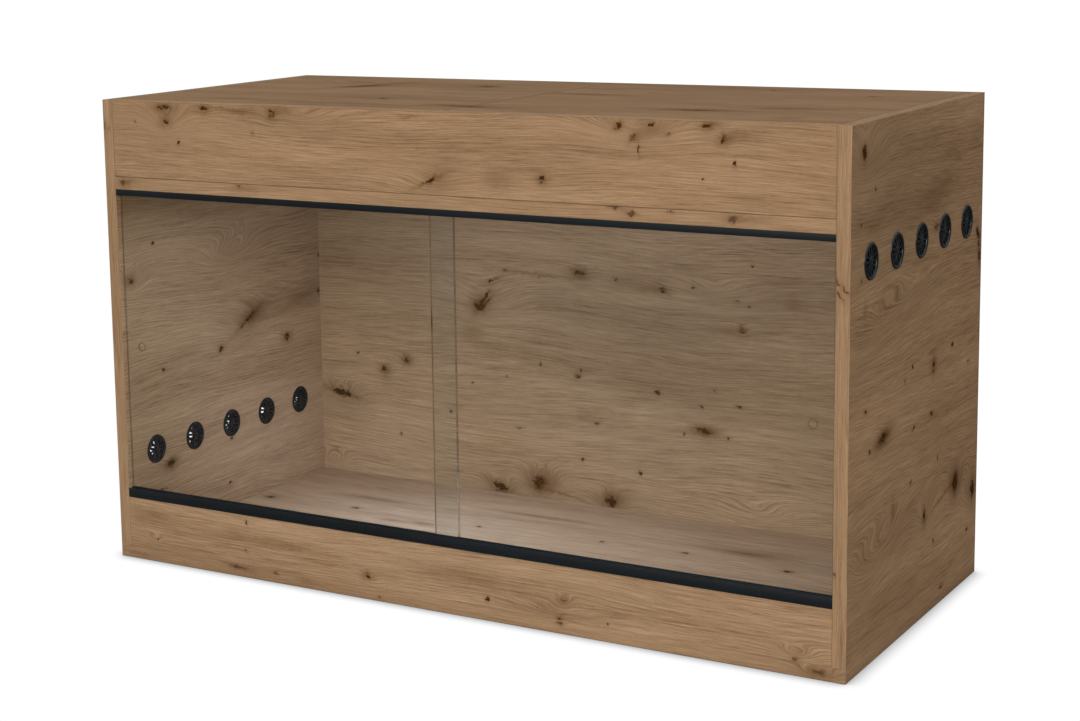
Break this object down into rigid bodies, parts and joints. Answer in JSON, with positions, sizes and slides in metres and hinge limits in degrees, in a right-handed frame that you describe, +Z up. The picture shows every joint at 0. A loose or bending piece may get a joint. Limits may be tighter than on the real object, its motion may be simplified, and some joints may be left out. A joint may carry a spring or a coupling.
{
  "type": "terrarium cabinet",
  "caption": "Long box-shaped terrarium cabinet of oak-look board, with sliding glass panes in front and a row of round vents in each side.",
  "frame": {"origin": "centre of the cabinet's footprint, on the surface it stands on", "axes": "+X to the right as seen from the front, +Y to the back, +Z up; the panes face -Y"},
  "size_m": [1.0034, 0.45, 0.6],
  "materials": {
    "oak_board": "matt knotty oak decor on chipboard",
    "oak_edging": "matt oak decor edge band",
    "hardboard": "hardboard, oak decor inside and bare brown behind",
    "black_plastic": "satin black",
    "clear_glass": "clear float glass with ground edges",
    "beech": "raw fluted beech",
    "zinc_steel": "zinc plated"
  },
  "bodies": {
    "cabinet": {"bottom_panel": "oak_board", "left_side_panel": "oak_board", "right_side_panel": "oak_board", "left_top_panel": "oak_board", "right_top_panel": "oak_board", "upper_fascia": "oak_board", "upper_rail": "oak_board", "lower_fascia": "oak_board", "back_panel": "hardboard", "bottom_front_band": "oak_edging", "bottom_left_band": "oak_edging", "bottom_right_band": "oak_edging", "left_front_band": "oak_edging", "right_front_band": "oak_edging", "left_top_band": "oak_edging", "right_top_band": "oak_edging", "upper_fascia_top_band": "oak_edging", "upper_rail_front_band": "oak_edging", "lower_fascia_top_band": "oak_edging", "upper_track": "black_plastic", "lower_track": "black_plastic", "left_outer_vent_1": "black_plastic", "left_outer_vent_2": "black_plastic", "left_outer_vent_3": "black_plastic", "left_outer_vent_4": "black_plastic", "left_outer_vent_5": "black_plastic", "left_inner_vent_1": "black_plastic", "left_inner_vent_2": "black_plastic", "left_inner_vent_3": "black_plastic", "left_inner_vent_4": "black_plastic", "left_inner_vent_5": "black_plastic", "right_outer_vent_1": "black_plastic", "right_outer_vent_2": "black_plastic", "right_outer_vent_3": "black_plastic", "right_outer_vent_4": "black_plastic", "right_outer_vent_5": "black_plastic", "right_inner_vent_1": "black_plastic", "right_inner_vent_2": "black_plastic", "right_inner_vent_3": "black_plastic", "right_inner_vent_4": "black_plastic", "right_inner_vent_5": "black_plastic", "dowels": "beech", "confirmat_screws": "zinc_steel", "cam_housings": "zinc_steel", "cam_bolts": "zinc_steel", "back_screws": "zinc_steel"},
    "left_slider": {"left_pane": "clear_glass"},
    "right_slider": {"right_pane": "clear_glass"}
  },
  "joints": [
    {"name": "left_pane_slide", "type": "slide", "parent": "cabinet", "child": "left_slider", "axis": [1, 0, 0], "range_m": [0, 0.468]},
    {"name": "right_pane_slide", "type": "slide", "parent": "cabinet", "child": "right_slider", "axis": [1, 0, 0], "range_m": [-0.468, 0]}
  ]
}
